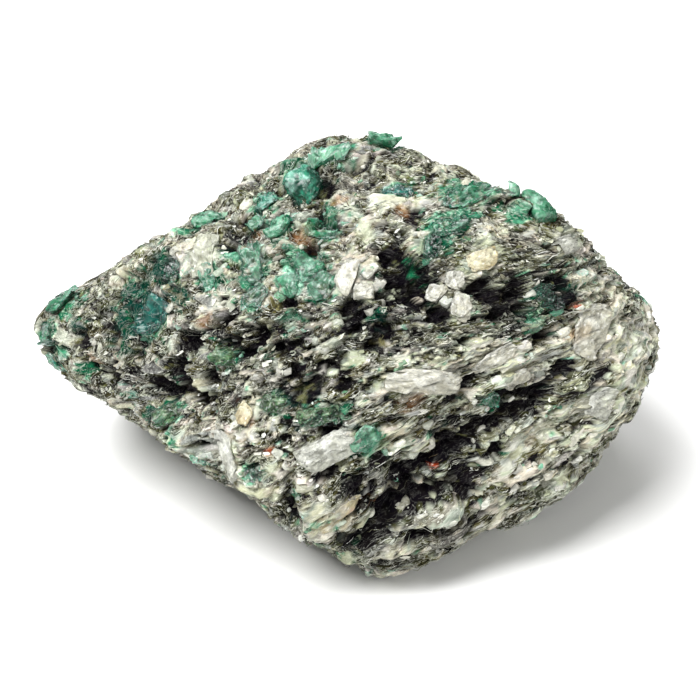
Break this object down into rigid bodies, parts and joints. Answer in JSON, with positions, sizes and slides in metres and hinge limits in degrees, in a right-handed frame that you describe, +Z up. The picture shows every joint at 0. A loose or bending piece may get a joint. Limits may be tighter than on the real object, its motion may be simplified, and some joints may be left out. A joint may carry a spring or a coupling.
{
  "type": "emerald in matrix",
  "caption": "Hand specimen of silvery dark mica schist with translucent green beryl crystals and white feldspar and quartz grains set in it; it lies on a flat broken underside.",
  "frame": {"origin": "middle of the specimen's bounding box, on the floor it rests on", "axes": "+Z up, +X along the length towards the blunt end, -Y the face that shows most of the crystals"},
  "size_m": [0.0898, 0.0651, 0.0533],
  "materials": {
    "mica_schist": "silvery, flaky and rough, with dark biotite streaks",
    "emerald": "translucent, frosted and chipped",
    "feldspar": "white to cream, satin cleavage faces",
    "quartz": "greyish white, greasy lustre"
  },
  "bodies": {
    "root": {"emerald_back_centre": "emerald", "emerald_back_left": "emerald", "emerald_back_right": "emerald", "emerald_band": "emerald", "emerald_blade": "emerald", "emerald_blue": "emerald", "emerald_blunt_end": "emerald", "emerald_cleft": "emerald", "emerald_column": "emerald", "emerald_column_foot": "emerald", "emerald_crown": "emerald", "emerald_crown_slab": "emerald", "emerald_deep": "emerald", "emerald_fan": "emerald", "emerald_flank": "emerald", "emerald_flank_foot": "emerald", "emerald_foot": "emerald", "emerald_front": "emerald", "emerald_hollow": "emerald", "emerald_in_quartz": "emerald", "emerald_ledge": "emerald", "emerald_olive": "emerald", "emerald_oval": "emerald", "emerald_peak": "emerald", "emerald_point": "emerald", "emerald_rim": "emerald", "emerald_rim_sliver": "emerald", "emerald_round": "emerald", "emerald_shade": "emerald", "emerald_shoulder": "emerald", "emerald_shoulder_foot": "emerald", "emerald_slope_sliver": "emerald", "emerald_table": "emerald", "emerald_tip_lower": "emerald", "emerald_tip_upper": "emerald", "emerald_wedge": "emerald", "emerald_window": "emerald", "emerald_window_foot": "emerald", "feldspar_back_band": "feldspar", "feldspar_back_left": "feldspar", "feldspar_band": "feldspar", "feldspar_bead": "feldspar", "feldspar_cream": "feldspar", "feldspar_fibrous": "feldspar", "feldspar_hump": "feldspar", "feldspar_in_shade": "feldspar", "feldspar_knot": "feldspar", "feldspar_pair_lower": "feldspar", "feldspar_pair_upper": "feldspar", "feldspar_plate": "feldspar", "feldspar_streak": "feldspar", "feldspar_streak_low": "feldspar", "matrix": "mica_schist", "quartz_back_right": "quartz", "quartz_block": "quartz", "quartz_column": "quartz", "quartz_end": "quartz", "quartz_hump": "quartz", "quartz_lump": "quartz"}
  },
  "joints": []
}
